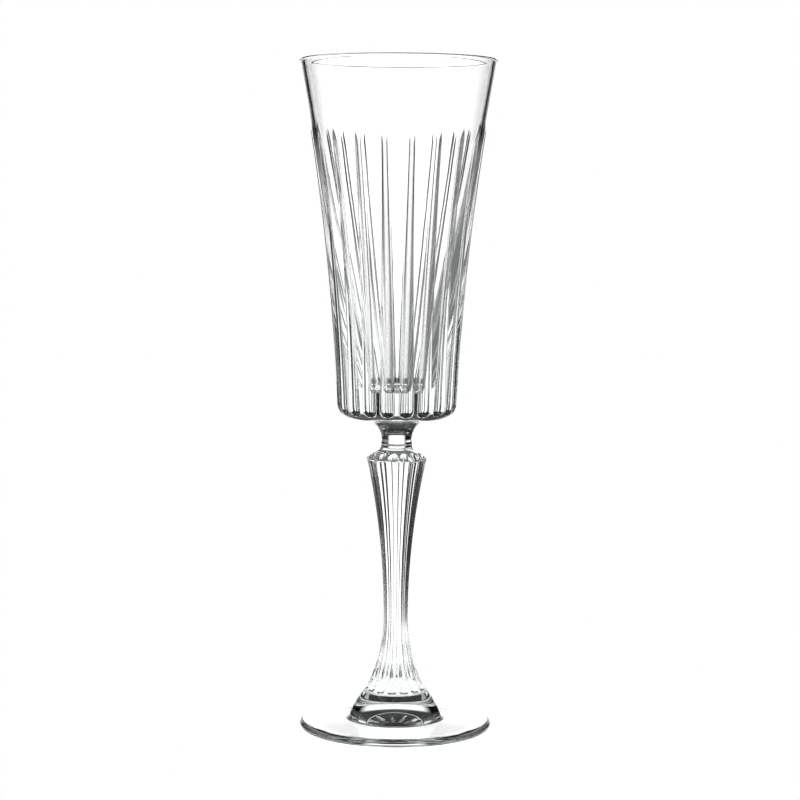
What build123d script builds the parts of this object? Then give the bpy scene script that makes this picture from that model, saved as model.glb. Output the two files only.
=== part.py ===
from build123d import *

import os
from math import pi, sin

# A pressed crystal champagne flute, in millimetres, standing on z = 0 with its axis on Z.
# It is three pieces of glass that were fused while hot: the bowl, the stem and the foot.
# Profiles are drawn in the XZ plane as (radius, height) and turned about Z.

# Whole glass
HEIGHT = 240.0
RIM_RADIUS = 35.4
FOOT_RADIUS = 34.6
NECK_SEAM_Z = 102.0  # where the bowl is fused to the stem
HUB_SEAM_Z = 13.4  # where the stem is fused to the foot

# Bowl, outside
LIP_THICKNESS = 2.0
SEAM_RADIUS = 5.7
NECK_RADIUS = 5.35
NECK_Z = 104.6
FUNNEL_RADIUS = 10.1
FUNNEL_Z = 111.4
UNDERSIDE_RADIUS = 16.4
UNDERSIDE_Z = 112.4
CORNER_RADIUS = 21.35
CORNER_Z = 117.8
BELLY_RADIUS = 26.6
BELLY_Z = 181.0

# Bowl, inside
CAVITY_FLOOR_Z = 122.3
CAVITY_FLOOR_RADIUS = 5.0
CAVITY_HEEL_RADIUS = 9.6  # where the rounding of the floor meets the wall
CAVITY_HEEL_Z = 126.0
CAVITY_MID_RADIUS = 22.3
CAVITY_MID_Z = 180.0

# Flutes pressed into the bowl: a groove that widens towards the base
BOWL_FLUTES = 20
BOWL_FLUTE_TOP_Z = 214.5
BOWL_FLUTE_TOP_WIDTH = 1.8
BOWL_FLUTE_BASE_WIDTH = 5.3
BOWL_FLUTE_DEPTH_RATIO = 0.28  # depth of a groove over its width
BOWL_FLUTE_FLARE = 1.6  # how late the groove widens on its way down
BOWL_FLUTE_REACH = 3.4  # how far the groove's cutter runs below the foot of the wall
BOWL_FLUTE_RINGS = 5  # rings that its cutter is lofted through along the wall

# Stem
SHOULDER_RADIUS = 10.8  # edge of the shoulder, from where it slopes up to the collar
SHOULDER_Z = 97.9
COLLAR_RADIUS = 6.1
COLLAR_Z = 101.2
WAIST_RADIUS = 4.35
WAIST_Z = 40.0
STEM_BASE_RADIUS = 10.9

# Flutes of the stem: they meet in sharp ribs, and one rib stands a little off the -Y side
STEM_FLUTES = 14
STEM_RIB_OFFSET = 6.0  # degrees
STEM_FLUTE_DEPTH_RATIO = 0.15
STEM_ARCH_RADIUS = 7.6  # how far in on the shoulder the flutes reach
STEM_ARCH_WIDTH = 1.6  # width of a flute there
STEM_FLUTE_OVERRUN = (0.6, 1.5)  # how far out and down its cutter runs past the seam
STEM_FLUTE_RINGS = (4, 5)  # rings that its cutter is lofted through below and above the waist

# Foot
HUB_RADIUS = 16.9
HUB_Z = 3.4
HUB_BULGE_RADIUS = 14.9
HUB_BULGE_Z = 8.3
HUB_TOP_RADIUS = 11.3
FOOT_EDGE_THICKNESS = 2.8
REST_INNER_RADIUS = 29.0
REST_OUTER_RADIUS = FOOT_RADIUS - FOOT_EDGE_THICKNESS / 2
PUNT_RADIUS = 13.0
PUNT_HEIGHT = 4.5
RECESS_HEIGHT = 0.9

# Headings of a profile, as (radius, height)
UP, DOWN, OUT = (0, 1), (0, -1), (1, 0)


def turned(*edges):
    """A solid of revolution about Z from a closed profile in the XZ plane."""
    return revolve(make_face(Wire(edges)), Axis.Z)


def point(radius, z):
    """A profile point at a radius and a height."""
    return Vector(radius, 0, z)


def arc_through(start, middle, end):
    """A circular profile arc through three (radius, height) points."""
    return Edge.make_three_point_arc(point(*start), point(*middle), point(*end))


def arc_leaving(start, heading, end):
    """A circular profile arc that leaves its start along a heading and reaches its end."""
    return Edge.make_tangent_arc(point(*start), point(*heading), point(*end))


def line(start, end):
    """A straight profile edge."""
    return Edge.make_line(point(*start), point(*end))


def evenly(start, end, count):
    """Heights at even steps from start to end."""
    return [start + (end - start) * i / (count - 1) for i in range(count)]


def radius_on(edge, z):
    """The radius at which a profile edge crosses a height."""
    level = Edge.make_line(Vector(0, 0, z), Vector(2 * RIM_RADIUS, 0, z))
    return edge.distance_to_with_closest_points(level)[1].X


def around_a_fan(cutter, count, first_angle):
    """The same cutter repeated at even steps around Z, counted from the -Y side."""
    step = 360 / count
    return [Rot(0, 0, first_angle - 90 + i * step) * cutter for i in range(count)]


def groove(stations, depth_ratio):
    """A cutter for one flute: rings lofted along it, given (wall radius, height, width)."""
    rings = []
    for wall_radius, z, width in stations:
        depth = depth_ratio * width
        # the ring whose chord is the flute's width at the flute's depth
        ring_radius = (width**2 / 4 + depth**2) / (2 * depth)
        rings.append(Plane((wall_radius + ring_radius - depth, 0, z)) * Circle(ring_radius))
    return loft(rings)


def bowl_wall():
    """The outside of the bowl above its heavy base, up to the lip."""
    return arc_through(
        (CORNER_RADIUS, CORNER_Z),
        (BELLY_RADIUS, BELLY_Z),
        (RIM_RADIUS, HEIGHT - LIP_THICKNESS / 2),
    )


def bowl_flute_width(z):
    """Width of a bowl flute at a height."""
    run = (BOWL_FLUTE_TOP_Z - z) / (BOWL_FLUTE_TOP_Z - CORNER_Z)
    return BOWL_FLUTE_TOP_WIDTH + (BOWL_FLUTE_BASE_WIDTH - BOWL_FLUTE_TOP_WIDTH) * run**BOWL_FLUTE_FLARE


def make_bowl():
    """Neck, funnel, heavy base and tapered wall, with the drink's cavity and the flutes."""
    wall = bowl_wall()
    lip_z = HEIGHT - LIP_THICKNESS / 2
    inner_rim = RIM_RADIUS - LIP_THICKNESS
    body = turned(
        line((0, NECK_SEAM_Z), (SEAM_RADIUS, NECK_SEAM_Z)),
        line((SEAM_RADIUS, NECK_SEAM_Z), (NECK_RADIUS, NECK_Z)),
        arc_leaving((NECK_RADIUS, NECK_Z), UP, (FUNNEL_RADIUS, FUNNEL_Z)),
        line((FUNNEL_RADIUS, FUNNEL_Z), (UNDERSIDE_RADIUS, UNDERSIDE_Z)),
        arc_leaving((CORNER_RADIUS, CORNER_Z), DOWN, (UNDERSIDE_RADIUS, UNDERSIDE_Z)),
        wall,
        arc_through((RIM_RADIUS, lip_z), (RIM_RADIUS - LIP_THICKNESS / 2, HEIGHT), (inner_rim, lip_z)),
        arc_through(
            (inner_rim, lip_z), (CAVITY_MID_RADIUS, CAVITY_MID_Z), (CAVITY_HEEL_RADIUS, CAVITY_HEEL_Z)
        ),
        arc_leaving((CAVITY_FLOOR_RADIUS, CAVITY_FLOOR_Z), OUT, (CAVITY_HEEL_RADIUS, CAVITY_HEEL_Z)),
        line((CAVITY_FLOOR_RADIUS, CAVITY_FLOOR_Z), (0, CAVITY_FLOOR_Z)),
        line((0, CAVITY_FLOOR_Z), (0, NECK_SEAM_Z)),
    )
    heights = evenly(BOWL_FLUTE_TOP_Z, CORNER_Z, BOWL_FLUTE_RINGS)
    stations = [(radius_on(wall, z), z, bowl_flute_width(z)) for z in heights]
    # below the wall the cutter runs straight on, so that the flute ends on the rounded corner
    stations.append((CORNER_RADIUS, CORNER_Z - BOWL_FLUTE_REACH, BOWL_FLUTE_BASE_WIDTH))
    cutter = groove(stations, BOWL_FLUTE_DEPTH_RATIO)
    return body - around_a_fan(cutter, BOWL_FLUTES, 180 / BOWL_FLUTES)


def make_stem():
    """A fluted baluster that swells to an edge under the bowl and slopes in to the neck from there."""
    shoulder, collar = (SHOULDER_RADIUS, SHOULDER_Z), (COLLAR_RADIUS, COLLAR_Z)
    lower = arc_leaving((WAIST_RADIUS, WAIST_Z), DOWN, (STEM_BASE_RADIUS, HUB_SEAM_Z))
    upper = arc_leaving((WAIST_RADIUS, WAIST_Z), UP, shoulder)
    body = turned(
        line((0, HUB_SEAM_Z), (STEM_BASE_RADIUS, HUB_SEAM_Z)),
        lower,
        upper,
        line(shoulder, collar),
        line(collar, (SEAM_RADIUS, NECK_SEAM_Z)),
        line((SEAM_RADIUS, NECK_SEAM_Z), (0, NECK_SEAM_Z)),
        line((0, NECK_SEAM_Z), (0, HUB_SEAM_Z)),
    )
    rib_chord = 2 * sin(pi / STEM_FLUTES)  # distance between ribs, as a share of the radius
    out, down = STEM_FLUTE_OVERRUN
    walls = [(STEM_BASE_RADIUS + out, HUB_SEAM_Z - down)]
    walls += [(radius_on(lower, z), z) for z in evenly(HUB_SEAM_Z, WAIST_Z, STEM_FLUTE_RINGS[0])[:-1]]
    walls += [(radius_on(upper, z), z) for z in evenly(WAIST_Z, SHOULDER_Z, STEM_FLUTE_RINGS[1])]
    stations = [(radius, z, radius * rib_chord) for radius, z in walls]
    flutes = groove(stations, STEM_FLUTE_DEPTH_RATIO)
    # the slope of the shoulder, along which the arches narrow to their tips
    slope = (COLLAR_Z - SHOULDER_Z) / (SHOULDER_RADIUS - COLLAR_RADIUS)
    tip = (STEM_ARCH_RADIUS, SHOULDER_Z + slope * (SHOULDER_RADIUS - STEM_ARCH_RADIUS), STEM_ARCH_WIDTH)
    arches = groove([stations[-1], tip], STEM_FLUTE_DEPTH_RATIO)
    first = STEM_RIB_OFFSET + 180 / STEM_FLUTES
    return body - around_a_fan(flutes, STEM_FLUTES, first) - around_a_fan(arches, STEM_FLUTES, first)


def make_foot():
    """A round foot with a hub on top, and underneath a flat rest ring around a hollow."""
    half_edge = FOOT_EDGE_THICKNESS / 2
    return turned(
        line((REST_INNER_RADIUS, 0), (REST_OUTER_RADIUS, 0)),
        arc_through(
            (REST_OUTER_RADIUS, 0), (FOOT_RADIUS, half_edge), (REST_OUTER_RADIUS, FOOT_EDGE_THICKNESS)
        ),
        line((REST_OUTER_RADIUS, FOOT_EDGE_THICKNESS), (HUB_RADIUS, HUB_Z)),
        arc_through((HUB_RADIUS, HUB_Z), (HUB_BULGE_RADIUS, HUB_BULGE_Z), (HUB_TOP_RADIUS, HUB_SEAM_Z)),
        line((HUB_TOP_RADIUS, HUB_SEAM_Z), (0, HUB_SEAM_Z)),
        line((0, HUB_SEAM_Z), (0, PUNT_HEIGHT)),
        arc_leaving((0, PUNT_HEIGHT), OUT, (PUNT_RADIUS, RECESS_HEIGHT)),
        line((PUNT_RADIUS, RECESS_HEIGHT), (REST_INNER_RADIUS, 0)),
    )


os.makedirs("parts", exist_ok=True)
PIECES = {"bowl": make_bowl(), "stem": make_stem(), "foot": make_foot()}
for name, shape in PIECES.items():
    shape.label = name
    export_step(shape, f"parts/{name}.step")
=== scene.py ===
"""A pressed crystal champagne flute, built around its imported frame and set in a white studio.

All lengths in the mesh code are metres. A profile is a row of (radius, height) points.
"""

import math

import bpy
import numpy as np
from bpy.props import FloatProperty, IntProperty, PointerProperty, StringProperty
from mathutils import Euler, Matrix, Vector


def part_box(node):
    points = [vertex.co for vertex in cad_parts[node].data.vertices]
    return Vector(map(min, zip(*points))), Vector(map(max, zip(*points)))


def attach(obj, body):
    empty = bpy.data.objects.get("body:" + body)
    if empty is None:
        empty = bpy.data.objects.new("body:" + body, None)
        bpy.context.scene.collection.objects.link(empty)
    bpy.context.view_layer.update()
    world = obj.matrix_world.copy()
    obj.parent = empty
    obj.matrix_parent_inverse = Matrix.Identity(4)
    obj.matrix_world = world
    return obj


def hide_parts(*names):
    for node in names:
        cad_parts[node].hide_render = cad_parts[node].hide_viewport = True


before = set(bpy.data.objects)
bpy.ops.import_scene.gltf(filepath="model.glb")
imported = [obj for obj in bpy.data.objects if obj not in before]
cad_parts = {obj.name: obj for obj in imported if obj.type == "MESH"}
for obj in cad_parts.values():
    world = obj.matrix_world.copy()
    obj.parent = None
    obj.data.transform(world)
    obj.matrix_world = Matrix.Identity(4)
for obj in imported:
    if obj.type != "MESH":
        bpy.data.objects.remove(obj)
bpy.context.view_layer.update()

bl_info = {
    "name": "Champagne flute",
    "version": (1, 0, 0),
    "blender": (4, 5, 0),
    "location": "3D View > Sidebar > Flute",
    "description": "Builds a pressed crystal champagne flute from its bowl, stem and foot",
    "category": "Object",
}

MM = 0.001
BODY = "root"
CRYSTAL = "Pressed lead-free crystal, fire-polished"
JOINT = "Fused glass joint"
TINY = 1e-9  # stands in for a width of nought
SEAM_TOLERANCE = 0.02 * MM  # faces this close to a seam's height lie on it
AXIS_RADIUS = 1 * MM  # angles are reckoned as if no ring of the bowl were smaller
FLUTE_COLUMNS, RIDGE_COLUMNS = 16, 10  # of the bowl's grid, for each flute and for the ridge beside it
SPREAD_ABOVE, SPREAD_BELOW = 20 * MM, 4 * MM  # lengths over which those columns even out beyond the flutes
STEM_COLUMNS = 24  # for each flute
FOOT_COLUMNS = 320
TABLE_SIDES = 128
TABLE_DROP = 0.05 * MM  # keeps the table clear of the ring that the foot stands on
BOUNCES, INNER_REFLECTIONS = 32, 12  # light leaves the foot's plate only after many inner reflections
BOWL_LOW, BOWL_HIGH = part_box("bowl")
STEM_LOW, STEM_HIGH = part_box("stem")
FOOT_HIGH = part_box("foot")[1]


def length(name, description, default):
    """A size in metres that the sidebar shows in the scene's unit."""
    return FloatProperty(name=name, description=description, default=default, unit="LENGTH", precision=4)


def angle(name, description, degrees):
    """An angle, given here in degrees."""
    return FloatProperty(name=name, description=description, default=math.radians(degrees), subtype="ANGLE")


def number(name, description, default):
    """A plain number."""
    return FloatProperty(name=name, description=description, default=default)


def how_many(name, description, default):
    """A whole number of things around the glass."""
    return IntProperty(name=name, description=description, default=default, min=3)


# --- sizes -------------------------------------------------------------------------------------


class FLUTE_PG_bowl(bpy.types.PropertyGroup):
    """Sizes of the bowl that the frame's box doesn't give."""

    lip: length("Lip thickness", "Thickness of the rounded rim", 2.0 * MM)
    seam_radius: length("Seam radius", "Radius of the neck where it is fused to the stem", 5.7 * MM)
    neck_radius: length("Neck radius", "Narrowest radius of the neck", 5.35 * MM)
    neck_z: length("Neck height", "Height of the narrowest neck", 104.6 * MM)
    funnel_radius: length("Funnel radius", "Radius where the funnel meets the underside", 10.1 * MM)
    funnel_z: length("Funnel height", "Height where the funnel meets the underside", 111.4 * MM)
    underside_radius: length("Underside radius", "Radius where the underside turns up", 16.4 * MM)
    underside_z: length("Underside height", "Height where the underside turns up", 112.4 * MM)
    corner_radius: length("Corner radius", "Radius where the wall starts", 21.35 * MM)
    corner_z: length("Corner height", "Height where the wall starts", 117.8 * MM)
    belly_radius: length("Belly radius", "Radius of the wall half way up", 26.6 * MM)
    belly_z: length("Belly height", "Height at which the belly radius is taken", 181.0 * MM)
    floor_radius: length("Floor radius", "Radius of the flat floor of the cavity", 5.0 * MM)
    floor_z: length("Floor height", "Height of the floor of the cavity", 122.3 * MM)
    heel_radius: length("Heel radius", "Radius where the floor's rounding meets the wall", 9.6 * MM)
    heel_z: length("Heel height", "Height where the floor's rounding meets the wall", 126.0 * MM)
    cavity_radius: length("Cavity radius", "Inner radius of the wall half way up", 22.3 * MM)
    cavity_z: length("Cavity height", "Height at which the cavity radius is taken", 180.0 * MM)
    flutes: how_many("Flutes", "Number of pressed flutes around the bowl", 20)
    flute_top_z: length("Flute top", "Height at which the flutes start", 216.0 * MM)
    flute_top_width: length("Flute top width", "Width of a flute at its top", 2.0 * MM)
    flute_base_width: length("Flute base width", "Width of a flute at the base of the bowl", 5.3 * MM)
    flute_depth: number("Flute depth", "Depth of a flute over its width", 0.3)
    flute_end: length("Flute end", "How far a flute's round end runs below the foot of the wall", 4.0 * MM)
    flute_flare: number("Flute flare", "How late a flute widens on its way down", 1.6)
    flute_fade: length("Flute fade", "Height over which a flute sinks in from its top", 6.0 * MM)


class FLUTE_PG_stem(bpy.types.PropertyGroup):
    """Sizes of the stem."""

    base_radius: length("Base radius", "Radius of the stem where it is fused to the foot", 10.9 * MM)
    waist_radius: length("Waist radius", "Narrowest radius of the stem", 4.35 * MM)
    waist_z: length("Waist height", "Height of the narrowest place", 40.0 * MM)
    shoulder_radius: length("Shoulder radius", "Widest radius, at the shoulder's edge", 10.8 * MM)
    shoulder_z: length("Shoulder height", "Height of the shoulder's edge", 97.9 * MM)
    collar_radius: length("Collar radius", "Radius at the top of the sloping shoulder", 6.1 * MM)
    collar_z: length("Collar height", "Height of the top of the sloping shoulder", 101.2 * MM)
    arch_radius: length("Arch radius", "Radius on the shoulder that the flutes' arches reach", 7.6 * MM)
    arch_end: length("Arch end", "Length of the arches' round tips", 3.4 * MM)
    foot_gap: length("Foot gap", "Height above the foot seam at which the flutes start", 0.3 * MM)
    foot_end: length("Foot end", "Length of the flutes' round ends at the foot", 1.8 * MM)
    flutes: how_many("Flutes", "Number of flutes around the stem", 14)
    rib_offset: angle("Rib offset", "Angle of the first rib from the front", 6)
    flute_depth: number("Flute depth", "Depth of a flute over its width", 0.15)


class FLUTE_PG_foot(bpy.types.PropertyGroup):
    """Sizes of the foot."""

    edge: length("Edge thickness", "Thickness of the foot at its rounded edge", 2.8 * MM)
    hub_radius: length("Hub radius", "Radius of the hub on the plate", 16.9 * MM)
    hub_z: length("Hub foot height", "Height of the plate at the hub", 3.4 * MM)
    hub_bulge_radius: length("Hub bulge radius", "Radius half way up the hub's rounded side", 14.9 * MM)
    hub_bulge_z: length("Hub bulge height", "Height half way up the hub's rounded side", 8.3 * MM)
    hub_top_radius: length("Hub top radius", "Radius of the hub at the seam", 11.3 * MM)
    rest_inner: length("Rest ring radius", "Inner radius of the ring that the foot stands on", 29.0 * MM)
    punt_radius: length("Punt radius", "Radius of the hollow under the hub", 13.0 * MM)
    punt_z: length("Punt height", "Height of the hollow under the hub", 4.5 * MM)
    recess_z: length("Recess height", "Height of the shallow hollow around the punt", 0.9 * MM)


class FLUTE_PG_glass(bpy.types.PropertyGroup):
    """Finish of the glass."""

    ior: number("IOR", "Index of refraction of lead-free crystal", 1.53)
    tint: StringProperty(name="Tint", description="Colour of thick glass, sRGB hex", default="#F0F2F2")
    absorption: number("Absorption", "Density of the tint per metre", 40.0)
    polish: number("Polish", "Roughness of the fire-polished surface", 0.0)
    wave_length: length("Wave length", "Distance between the slow waves left by the mould", 9.0 * MM)
    wave_height: length("Wave height", "Height of the waves", 0.15 * MM)
    wave_strength: number("Wave strength", "How much of the waves' slope shows", 0.12)


class FLUTE_PG_studio(bpy.types.PropertyGroup):
    """Camera and light."""

    distance: length("Camera distance", "Horizontal distance from the glass", 796.0 * MM)
    eye_z: length("Camera height", "Height above the table", 188.7 * MM)
    aim_x: length("Camera shift", "Sideways place of the camera", 1.1 * MM)
    tilt: angle("Tilt", "How far the camera looks down", 5.02)
    roll: angle("Roll", "Turn about the line of sight", 0.35)
    lens: number("Lens", "Focal length in millimetres", 100.2)
    table_radius: length("Table radius", "Radius of the round white table", 80.0 * MM)
    table_glow: number("Table glow", "Radiance that the table gives of itself", 1.15)
    panel: number("Panel brightness", "Radiance of the white panels", 1.4)
    low_gap: number("Low gap brightness", "Radiance of the gaps near the table", 0.3)
    gap_low: number("Low gap height", "Sine of the elevation where the low gap is in full", -0.18)
    gap_high: number("Black gap height", "Sine of the elevation where the gap is black", -0.1)
    ceiling: number("Ceiling brightness", "Radiance overhead", 0.1)
    gamma: number("Print gamma", "Below 1 it deepens the greys of the picture", 0.78)


# White panels, in degrees: azimuth (0 is behind the glass, 90 to its right), half width and softness of the
# upright edges, and elevations of the bottom and the top
PANELS = (
    (0, 22, 7, -28, 15),
    (-90, 16, 3, -90, 15),
    (135, 16, 3, -90, 15),
    (-45, 16, 3, -90, -13),
)
PANEL_END = 0.06  # softness of a panel's bottom and top, as a sine of elevation
OVERHEAD = (0.2, 0.32)  # sines of the elevations between which the ceiling takes over from the gaps


# --- surfaces ----------------------------------------------------------------------------------


# Headings of a profile, as (radius, height)
UP, DOWN, OUT = (0, 1), (0, -1), (1, 0)


def straight(start, end, count):
    """count points evenly along the line from start to end."""
    t = np.linspace(0, 1, count)[:, None]
    return np.array(start) * (1 - t) + np.array(end) * t


def arc(start, middle, end, count):
    """count points along the circle through three points.

    The centre is where the perpendicular bisectors of the two chords cross.
    """
    a, b, c = (np.array(p, float) for p in (start, middle, end))
    chords = np.array([b - a, c - b])
    centre = np.linalg.solve(chords, [(b @ b - a @ a) / 2, (c @ c - b @ b) / 2])
    first, mid, last = (math.atan2(*(p - centre)[::-1]) for p in (a, b, c))
    turn = (last - first) % (2 * math.pi)
    if (mid - first) % (2 * math.pi) > turn:
        turn -= 2 * math.pi
    angles = first + turn * np.linspace(0, 1, count)
    radius = np.linalg.norm(a - centre)
    return centre + radius * np.column_stack((np.cos(angles), np.sin(angles)))


def arc_leaving(start, heading, end, count):
    """count points along the circle that leaves start along a heading and reaches end.

    Its middle lies chord / 2 * tan(off / 2) beside the chord's, off being the angle from heading to chord.
    """
    chord = np.subtract(end, start)
    off = math.atan2(heading[0] * chord[1] - heading[1] * chord[0], np.dot(heading, chord))
    side = np.array((chord[1], -chord[0])) * math.tan(off / 2) / 2
    return arc(start, np.add(start, end) / 2 + side, end, count)


def joined(*runs):
    """Runs of points end to end, each shared point once."""
    return np.vstack([runs[0]] + [run[1:] for run in runs[1:]])


def across_groove(offset, half_width):
    """Share of its depth that a groove has at an offset from its middle: 1 - (offset / half_width)^2."""
    u = np.abs(offset) / np.maximum(half_width, TINY)
    return 1 - np.clip(u, 0, 1) ** 2


def round_end(distance, length_of_end):
    """Share of its width that a groove has near its round end, t being distance / length_of_end.

    It is sqrt(1 - (1 - t)^2), and 0 before the end and 1 past its length.
    """
    t = np.clip(distance / length_of_end, 0, 1)
    return np.sqrt(1 - (1 - t) ** 2)


def smoothstep(t):
    """0 below t = 0, 1 above t = 1, and 3t^2 - 2t^3 between."""
    t = np.clip(t, 0, 1)
    return t * t * (3 - 2 * t)


def distance_along(profile):
    """How far each point lies along the profile from its first point."""
    steps = np.linalg.norm(np.diff(profile, axis=0), axis=1)
    return np.concatenate(([0], np.cumsum(steps)))


def normals_of(profile):
    """Unit normals of a profile that runs outwards and up, on its right side, by central differences."""
    tangent = np.gradient(profile, axis=0)
    tangent /= np.linalg.norm(tangent, axis=1)[:, None]
    return np.column_stack((tangent[:, 1], -tangent[:, 0]))


def scooped(profile, angles, depth):
    """The turned surface pressed in along its normal: point = profile - normal * depth(row, column).

    Gives x, y and z on the grid, with the front at -Y.
    """
    normal = normals_of(profile)
    radius = profile[:, :1] - normal[:, :1] * depth
    z = profile[:, 1:] - normal[:, 1:] * depth
    return radius * np.sin(angles), -radius * np.cos(angles), z


def closed_mesh(name, x, y, z):
    """A closed mesh from a grid whose first and last rows are points on the axis.

    Rows run along the profile and columns around the axis, so each quad joins two neighbours in both.
    """
    rows, columns = x.shape
    inner = np.stack((x, y, z), axis=-1)[1:-1].reshape(-1, 3)
    poles = np.array([[0, 0, z[0, 0]], [0, 0, z[-1, 0]]])
    verts = np.vstack((inner, poles))
    index = np.arange((rows - 2) * columns).reshape(rows - 2, columns)
    after = np.roll(index, -1, axis=1)
    quads = np.stack((index[:-1], after[:-1], after[1:], index[1:]), axis=-1).reshape(-1, 4)
    first, last = len(inner), len(inner) + 1
    bottom = np.column_stack((np.full(columns, first), after[0], index[0]))
    top = np.column_stack((np.full(columns, last), index[-1], after[-1]))
    mesh = bpy.data.meshes.new(name)
    mesh.from_pydata(verts.tolist(), [], quads.tolist() + bottom.tolist() + top.tolist())
    mesh.update()
    return mesh


def place(name, mesh, node):
    """Shows a mesh as the piece that stands for a node of the frame."""
    piece = bpy.data.objects.new(name, mesh)
    bpy.context.scene.collection.objects.link(piece)
    mesh.polygons.foreach_set("use_smooth", np.ones(len(mesh.polygons), bool))
    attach(piece, BODY)
    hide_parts(node)
    return piece


def mark_joint(piece, seam_z, seam_radius):
    """Gives the faces on a fused seam, flat at seam_z within seam_radius, the joint's material."""
    mesh = piece.data
    count = len(mesh.polygons)
    centres = np.empty(count * 3)
    mesh.polygons.foreach_get("center", centres)
    centres = centres.reshape(-1, 3)
    on_seam = np.abs(centres[:, 2] - seam_z) < SEAM_TOLERANCE
    within = np.hypot(centres[:, 0], centres[:, 1]) < seam_radius
    slots = np.zeros(count, np.int32)
    mesh.polygons.foreach_get("material_index", slots)
    slots[on_seam & within] = 1
    mesh.polygons.foreach_set("material_index", slots)


# --- bowl --------------------------------------------------------------------------------------


def bowl_profile(size):
    """From the middle of the neck seam out and up to the lip, and back down to the cavity floor.

    Also gives the rows of the wall's foot and of its top.
    """
    seam_z, rim_radius, height = BOWL_LOW.z, BOWL_HIGH.x, BOWL_HIGH.z
    lip_z = height - size.lip / 2
    seam = (size.seam_radius, seam_z)
    neck = (size.neck_radius, size.neck_z)
    funnel = (size.funnel_radius, size.funnel_z)
    underside = (size.underside_radius, size.underside_z)
    corner = (size.corner_radius, size.corner_z)
    belly = (size.belly_radius, size.belly_z)
    heel = (size.heel_radius, size.heel_z)
    floor = (size.floor_radius, size.floor_z)
    rim_out, rim_in = (rim_radius, lip_z), (rim_radius - size.lip, lip_z)
    below = joined(
        straight((0, seam_z), seam, count=6),
        straight(seam, neck, count=4),
        arc_leaving(neck, UP, funnel, count=12),
        straight(funnel, underside, count=5),
        arc_leaving(corner, DOWN, underside, count=34)[::-1],
    )
    wall = arc(corner, belly, rim_out, count=76)
    lip = arc(rim_out, (rim_radius - size.lip / 2, height), rim_in, count=15)
    cavity = joined(
        arc(rim_in, (size.cavity_radius, size.cavity_z), heel, count=26),
        arc_leaving(floor, OUT, heel, count=11)[::-1],
        straight(floor, (0, size.floor_z), count=4),
    )
    wall_foot = len(below) - 1
    return joined(below, wall, lip, cavity), wall_foot, wall_foot + len(wall) - 1


def bowl_surface(size):
    """Round grooves pressed into a turned bowl, each ending in a round tongue on its lower corner.

    A groove's width grows as a power of the way down from its top, and its depth is a share of that width
    times what across_groove gives. The columns spread with the flutes, most of them inside, so that the
    flutes' edges lie on the grid.
    """
    profile, wall_foot, wall_top = bowl_profile(size)
    run = distance_along(profile)
    z = profile[:, 1]
    radius = np.maximum(profile[:, 0], AXIS_RADIUS)
    pitch = 2 * math.pi / size.flutes
    outside = np.arange(len(profile)) <= wall_top
    down = np.clip((size.flute_top_z - z) / (size.flute_top_z - size.corner_z), 0, 1)
    width = size.flute_top_width + (size.flute_base_width - size.flute_top_width) * down**size.flute_flare
    from_end = run - run[wall_foot] + size.flute_end
    tongue = round_end(from_end, size.flute_base_width / 2)
    fade_in = smoothstep((size.flute_top_z - z) / size.flute_fade)
    half = width / 2 / radius
    above, past_end = (z - size.flute_top_z) / SPREAD_ABOVE, -from_end / SPREAD_BELOW
    spread_out = np.where(outside, np.maximum(smoothstep(above), smoothstep(past_end)), 1)
    grid_half = (half * (1 - spread_out) + pitch / 4 * spread_out)[:, None]
    inside = np.sin(math.pi / 2 * np.linspace(-1, 1, FLUTE_COLUMNS, endpoint=False)) * grid_half
    ridge = grid_half + np.linspace(0, 1, RIDGE_COLUMNS, endpoint=False) * (pitch - 2 * grid_half)
    offset = np.hstack((inside, ridge))
    deepest = (size.flute_depth * width * fade_in * tongue * outside)[:, None]
    depth = deepest * across_groove(offset, (half * tongue)[:, None])
    centres = (np.arange(size.flutes) + 0.5) * pitch
    angles = (centres[None, :, None] + offset[:, None, :]).reshape(len(profile), -1)
    return scooped(profile, angles, np.tile(depth, (1, size.flutes)))


class FLUTE_OT_bowl(bpy.types.Operator):
    """Builds the bowl with its heavy base, cavity and pressed flutes."""

    bl_idname = "flute.bowl"
    bl_label = "Bowl"

    def execute(self, context):
        size = context.scene.flute_bowl
        piece = place("crystal_bowl", closed_mesh("crystal_bowl", *bowl_surface(size)), "bowl")
        finish_glass(piece)
        mark_joint(piece, BOWL_LOW.z, size.seam_radius)
        return {"FINISHED"}


# --- stem --------------------------------------------------------------------------------------


def stem_profile(size):
    """From the middle of the foot seam out, up the baluster and over the sloping shoulder to the neck seam.

    Also gives the rows of the base and of the shoulder's edge.
    """
    base = (size.base_radius, STEM_LOW.z)
    waist = (size.waist_radius, size.waist_z)
    shoulder = (size.shoulder_radius, size.shoulder_z)
    collar = (size.collar_radius, size.collar_z)
    seam = (bpy.context.scene.flute_bowl.seam_radius, STEM_HIGH.z)
    foot_seam = straight((0, STEM_LOW.z), base, count=8)
    side = joined(arc_leaving(waist, DOWN, base, count=60)[::-1], arc_leaving(waist, UP, shoulder, count=90))
    profile = joined(
        foot_seam,
        side,
        straight(shoulder, collar, count=28),
        straight(collar, seam, count=4),
        straight(seam, (0, STEM_HIGH.z), count=6),
    )
    base_row = len(foot_seam) - 1
    return profile, base_row, base_row + len(side) - 1


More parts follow.
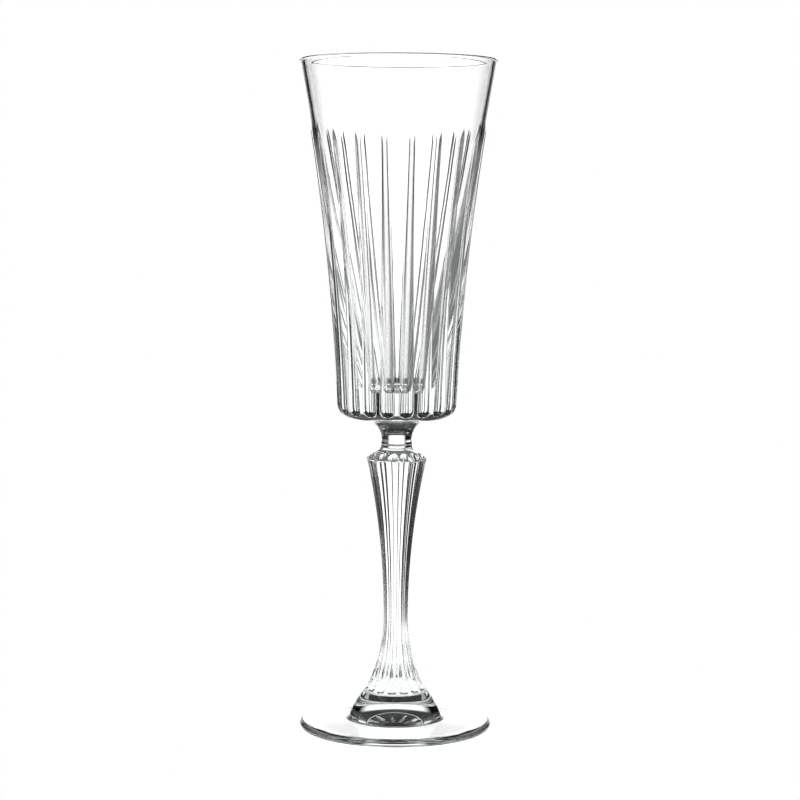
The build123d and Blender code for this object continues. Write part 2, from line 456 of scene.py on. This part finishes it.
def stem_surface(size):
    """Round grooves side by side, so that they meet in sharp ribs, with round ends.

    A groove's depth is a share of its width on the turned stem, times what across_groove gives. The columns
    crowd towards the ribs as a sine does towards its peaks.
    """
    profile, base_row, shoulder_row = stem_profile(size)
    run = distance_along(profile)
    pitch = 2 * math.pi / size.flutes
    slope = (size.shoulder_radius - size.collar_radius, size.collar_z - size.shoulder_z)
    arch = math.hypot(*slope) * (size.shoulder_radius - size.arch_radius) / slope[0]
    above_foot = round_end(run - run[base_row] - size.foot_gap, size.foot_end)
    narrowing = above_foot * round_end(run[shoulder_row] + arch - run, size.arch_end)
    offset = np.sin(math.pi / 2 * np.linspace(-1, 1, STEM_COLUMNS, endpoint=False))
    deepest = size.flute_depth * pitch * profile[:, 0] * narrowing
    depth = deepest[:, None] * across_groove(offset, narrowing[:, None])
    centres = size.rib_offset + (np.arange(size.flutes) + 0.5) * pitch
    angles = (centres[:, None] + offset * pitch / 2).reshape(1, -1)
    return scooped(profile, angles, np.tile(depth, (1, size.flutes)))


class FLUTE_OT_stem(bpy.types.Operator):
    """Builds the fluted baluster stem."""

    bl_idname = "flute.stem"
    bl_label = "Stem"

    def execute(self, context):
        size = context.scene.flute_stem
        piece = place("crystal_stem", closed_mesh("crystal_stem", *stem_surface(size)), "stem")
        finish_glass(piece)
        mark_joint(piece, STEM_LOW.z, size.base_radius)
        mark_joint(piece, STEM_HIGH.z, context.scene.flute_bowl.seam_radius)
        return {"FINISHED"}


# --- foot --------------------------------------------------------------------------------------


def foot_profile(size):
    """From the punt's middle out along the underside, round the edge and up the hub to the stem seam."""
    outer, seam_z = FOOT_HIGH.x, FOOT_HIGH.z
    rest_outer = outer - size.edge / 2
    base_radius = bpy.context.scene.flute_stem.base_radius
    hub = (size.hub_radius, size.hub_z)
    bulge = (size.hub_bulge_radius, size.hub_bulge_z)
    hub_top = (size.hub_top_radius, seam_z)
    punt_edge = (size.punt_radius, size.recess_z)
    return joined(
        arc_leaving((0, size.punt_z), OUT, punt_edge, count=24),
        straight(punt_edge, (size.rest_inner, 0), count=12),
        straight((size.rest_inner, 0), (rest_outer, 0), count=6),
        arc((rest_outer, 0), (outer, size.edge / 2), (rest_outer, size.edge), count=17),
        straight((rest_outer, size.edge), hub, count=16),
        arc(hub, bulge, hub_top, count=28),
        straight(hub_top, (base_radius, seam_z), count=3),
        straight((base_radius, seam_z), (0, seam_z), count=8),
    )


def foot_surface(size):
    """The foot's profile, turned and not pressed."""
    profile = foot_profile(size)
    angles = np.linspace(0, 2 * math.pi, FOOT_COLUMNS, endpoint=False)[None, :]
    return scooped(profile, angles, np.zeros((len(profile), FOOT_COLUMNS)))


class FLUTE_OT_foot(bpy.types.Operator):
    """Builds the round foot with its hub and hollowed underside."""

    bl_idname = "flute.foot"
    bl_label = "Foot"

    def execute(self, context):
        grid = foot_surface(context.scene.flute_foot)
        piece = place("crystal_foot", closed_mesh("crystal_foot", *grid), "foot")
        finish_glass(piece)
        mark_joint(piece, FOOT_HIGH.z, context.scene.flute_stem.base_radius)
        return {"FINISHED"}


# --- materials ---------------------------------------------------------------------------------


# Settings of the nodes that calculate
MULTIPLY, MAXIMUM = {"operation": "MULTIPLY"}, {"operation": "MAXIMUM"}
LENGTH, NORMALIZE = {"operation": "LENGTH"}, {"operation": "NORMALIZE"}
DOT = {"operation": "DOT_PRODUCT"}
SMOOTH = {"interpolation_type": "SMOOTHSTEP"}


def linear(hex_colour):
    """An sRGB hex colour as linear RGBA."""
    levels = np.array([int(hex_colour[i : i + 2], 16) for i in (1, 3, 5)]) / 255
    low, high = levels / 12.92, ((levels + 0.055) / 1.055) ** 2.4
    return (*np.where(levels <= 0.04045, low, high), 1)


def add_node(tree, kind, settings=(), **inputs):
    """Adds a node with its settings; an input is a value, or another node's output to link.

    Inputs go by their names, with _ for a space, or by their places, as _0, _1 and so on.
    """
    node = tree.nodes.new(kind)
    for name, value in dict(settings).items():
        setattr(node, name, value)
    for name, value in inputs.items():
        socket = node.inputs[int(name[1:])] if name[0] == "_" else node.inputs[name.replace("_", " ")]
        if isinstance(value, bpy.types.NodeSocket):
            tree.links.new(value, socket)
        else:
            socket.default_value = value
    return node


def new_material(name):
    """An empty node material."""
    material = bpy.data.materials.new(name)
    material.use_nodes = True
    material.node_tree.nodes.clear()
    return material


def pressed_crystal():
    """Lead-free crystal, pressed in a mould and fire-polished.

    To the eye it is colourless and glossy, with a faint cool depth and slow waves left by the mould.
    """
    finish = bpy.context.scene.flute_glass
    material = new_material(CRYSTAL)
    tree = material.node_tree
    place_on_piece = add_node(tree, "ShaderNodeTexCoord").outputs["Object"]
    per_metre = 1 / finish.wave_length
    waves = add_node(tree, "ShaderNodeTexNoise", Vector=place_on_piece, Scale=per_metre, Detail=1.0)
    bump = add_node(
        tree,
        "ShaderNodeBump",
        Strength=finish.wave_strength,
        Distance=finish.wave_height,
        Height=waves.outputs[0],
    )
    glass = add_node(
        tree,
        "ShaderNodeBsdfPrincipled",
        Base_Color=linear("#FFFFFF"),
        Roughness=finish.polish,
        IOR=finish.ior,
        Transmission_Weight=1.0,
        Normal=bump.outputs["Normal"],
    )
    tint = add_node(tree, "ShaderNodeVolumeAbsorption", Color=linear(finish.tint), Density=finish.absorption)
    add_node(tree, "ShaderNodeOutputMaterial", Surface=glass.outputs[0], Volume=tint.outputs[0])
    return material


def fused_joint():
    """Glass fused to glass: there is no surface left to see, so light goes straight on."""
    material = new_material(JOINT)
    tree = material.node_tree
    clear = add_node(tree, "ShaderNodeBsdfTransparent")
    add_node(tree, "ShaderNodeOutputMaterial", Surface=clear.outputs[0])
    return material


def finish_glass(piece):
    """Glass in the first slot and the fused joint in the second, the same two materials on every piece."""
    for name, build in ((CRYSTAL, pressed_crystal), (JOINT, fused_joint)):
        piece.data.materials.append(bpy.data.materials.get(name) or build())


def lit_table():
    """White acrylic lit from below, matt, whose pool of light fades towards its edge.

    To the eye it is an even white that the glass stands on, with no edge.
    """
    studio = bpy.context.scene.flute_studio
    material = new_material("White acrylic, lit from below")
    tree = material.node_tree
    acrylic = add_node(
        tree,
        "ShaderNodeBsdfPrincipled",
        Base_Color=linear("#F4F4F2"),
        Roughness=0.6,
        Emission_Color=linear("#FFFFFF"),
        Emission_Strength=studio.table_glow,
    )
    clear = add_node(tree, "ShaderNodeBsdfTransparent")
    place_on_table = add_node(tree, "ShaderNodeTexCoord").outputs["Object"]
    radius = add_node(tree, "ShaderNodeVectorMath", LENGTH, _0=place_on_table).outputs["Value"]
    fading = add_node(
        tree,
        "ShaderNodeMapRange",
        SMOOTH,
        Value=radius,
        From_Min=studio.table_radius / 2,
        From_Max=studio.table_radius,
    )
    pool = add_node(
        tree,
        "ShaderNodeMixShader",
        _0=fading.outputs[0],
        _1=acrylic.outputs[0],
        _2=clear.outputs[0],
    )
    add_node(tree, "ShaderNodeOutputMaterial", Surface=pool.outputs[0])
    return material


# --- stage -------------------------------------------------------------------------------------


def panel_mask(tree, level, height, panel):
    """1 on a white panel and 0 off it, with soft edges: the product of three smooth steps.

    They are steps of the cosine of the angle from the panel's middle, and of the sine of elevation.
    """
    azimuth, half_width, softness, bottom, top = (math.radians(angle) for angle in panel)
    middle = (math.sin(azimuth), math.cos(azimuth), 0)
    cosine = add_node(tree, "ShaderNodeVectorMath", DOT, _0=level, _1=middle).outputs["Value"]
    low_side, high_side = math.cos(half_width + softness), math.cos(half_width - softness)
    low_end, high_end = math.sin(bottom), math.sin(top)
    edges = (
        (cosine, low_side, high_side),
        (height, low_end - PANEL_END, low_end + PANEL_END),
        (height, high_end + PANEL_END, high_end - PANEL_END),
    )
    across, over_bottom, under_top = (
        add_node(tree, "ShaderNodeMapRange", SMOOTH, Value=value, From_Min=start, From_Max=end).outputs[0]
        for value, start, end in edges
    )
    upright = add_node(tree, "ShaderNodeMath", MULTIPLY, _0=over_bottom, _1=under_top)
    return add_node(tree, "ShaderNodeMath", MULTIPLY, _0=across, _1=upright.outputs[0]).outputs[0]


def studio_light(studio):
    """White panels that stand round the glass with dark gaps between them, under a dark ceiling.

    The gaps give clear glass its dark lines, as black cards do in a studio. The eye itself sees plain white
    behind the glass from every side.
    """
    world = bpy.data.worlds.new("Studio")
    world.use_nodes = True
    tree = world.node_tree
    tree.nodes.clear()
    direction = add_node(tree, "ShaderNodeTexCoord").outputs["Generated"]
    flat = add_node(tree, "ShaderNodeVectorMath", MULTIPLY, _0=direction, _1=(1, 1, 0))
    level = add_node(tree, "ShaderNodeVectorMath", NORMALIZE, _0=flat.outputs[0]).outputs[0]
    height = add_node(tree, "ShaderNodeSeparateXYZ", Vector=direction).outputs[2]
    lit = 0.0
    for panel in PANELS:
        mask = panel_mask(tree, level, height, panel)
        lit = add_node(tree, "ShaderNodeMath", MAXIMUM, _0=mask, _1=lit).outputs[0]
    black, white = 0.0, 1.0
    near_table, overhead = (
        add_node(tree, "ShaderNodeMapRange", SMOOTH, Value=height, From_Min=start, From_Max=end).outputs[0]
        for start, end in ((studio.gap_high, studio.gap_low), OVERHEAD)
    )
    eye = add_node(tree, "ShaderNodeLightPath").outputs["Is Camera Ray"]
    # black to start with, in whose place come in turn the dim gaps near the table, the ceiling, the panels
    # and the white that the eye sees
    radiance = black
    for share, brightness in (
        (near_table, studio.low_gap),
        (overhead, studio.ceiling),
        (lit, studio.panel),
        (eye, white),
    ):
        radiance = add_node(tree, "ShaderNodeMix", Factor=share, A=radiance, B=brightness).outputs[0]
    light = add_node(tree, "ShaderNodeBackground", Color=linear("#FFFFFF"), Strength=radiance)
    add_node(tree, "ShaderNodeOutputWorld", Surface=light.outputs[0])
    return world


class FLUTE_OT_stage(bpy.types.Operator):
    """Sets the table, the studio light and the camera."""

    bl_idname = "flute.stage"
    bl_label = "Stage"

    def execute(self, context):
        scene = context.scene
        studio = scene.flute_studio
        turn = np.linspace(0, 2 * math.pi, TABLE_SIDES, endpoint=False)
        rim = np.column_stack((np.cos(turn), np.sin(turn))) * studio.table_radius
        verts = np.column_stack((rim, np.full(len(rim), -TABLE_DROP)))
        mesh = bpy.data.meshes.new("table")
        mesh.from_pydata(verts.tolist(), [], [tuple(range(len(rim)))])
        table = bpy.data.objects.new("table", mesh)
        scene.collection.objects.link(table)
        table.data.materials.append(lit_table())
        scene.world = studio_light(studio)
        camera = bpy.data.cameras.new("camera")
        camera.lens = studio.lens
        camera.clip_start = 10 * MM
        eye = bpy.data.objects.new("camera", camera)
        scene.collection.objects.link(eye)
        eye.location = (studio.aim_x, -studio.distance, studio.eye_z)
        look = Euler((math.pi / 2 - studio.tilt, 0, 0)).to_matrix() @ Euler((0, 0, studio.roll)).to_matrix()
        eye.rotation_euler = look.to_euler()
        scene.camera = eye
        scene.view_settings.view_transform = "Standard"
        scene.view_settings.gamma = studio.gamma
        scene.cycles.max_bounces = BOUNCES
        scene.cycles.transmission_bounces = BOUNCES
        scene.cycles.transparent_max_bounces = BOUNCES
        scene.cycles.glossy_bounces = INNER_REFLECTIONS
        return {"FINISHED"}


# --- panel and registration --------------------------------------------------------------------


STEPS = ("stage", "bowl", "stem", "foot")
SETTINGS = {
    "flute_bowl": FLUTE_PG_bowl,
    "flute_stem": FLUTE_PG_stem,
    "flute_foot": FLUTE_PG_foot,
    "flute_glass": FLUTE_PG_glass,
    "flute_studio": FLUTE_PG_studio,
}


class FLUTE_PT_sidebar(bpy.types.Panel):
    """Lists the sizes and the steps."""

    bl_idname = "FLUTE_PT_sidebar"
    bl_label = "Champagne flute"
    bl_space_type = "VIEW_3D"
    bl_region_type = "UI"
    bl_category = "Flute"

    def draw(self, context):
        for name, group in SETTINGS.items():
            box = self.layout.box()
            for prop in group.__annotations__:
                box.prop(getattr(context.scene, name), prop)
        for step in STEPS:
            self.layout.operator("flute." + step)


OPERATORS = (FLUTE_OT_stage, FLUTE_OT_bowl, FLUTE_OT_stem, FLUTE_OT_foot)


def register():
    for kind in (*SETTINGS.values(), *OPERATORS, FLUTE_PT_sidebar):
        bpy.utils.register_class(kind)
    for name, group in SETTINGS.items():
        setattr(bpy.types.Scene, name, PointerProperty(type=group))


def unregister():
    for name in SETTINGS:
        delattr(bpy.types.Scene, name)
    for kind in reversed((*SETTINGS.values(), *OPERATORS, FLUTE_PT_sidebar)):
        bpy.utils.unregister_class(kind)


def main():
    """Builds the whole glass."""
    register()
    for step in STEPS:
        getattr(bpy.ops.flute, step)()


if __name__ == "__main__":
    main()
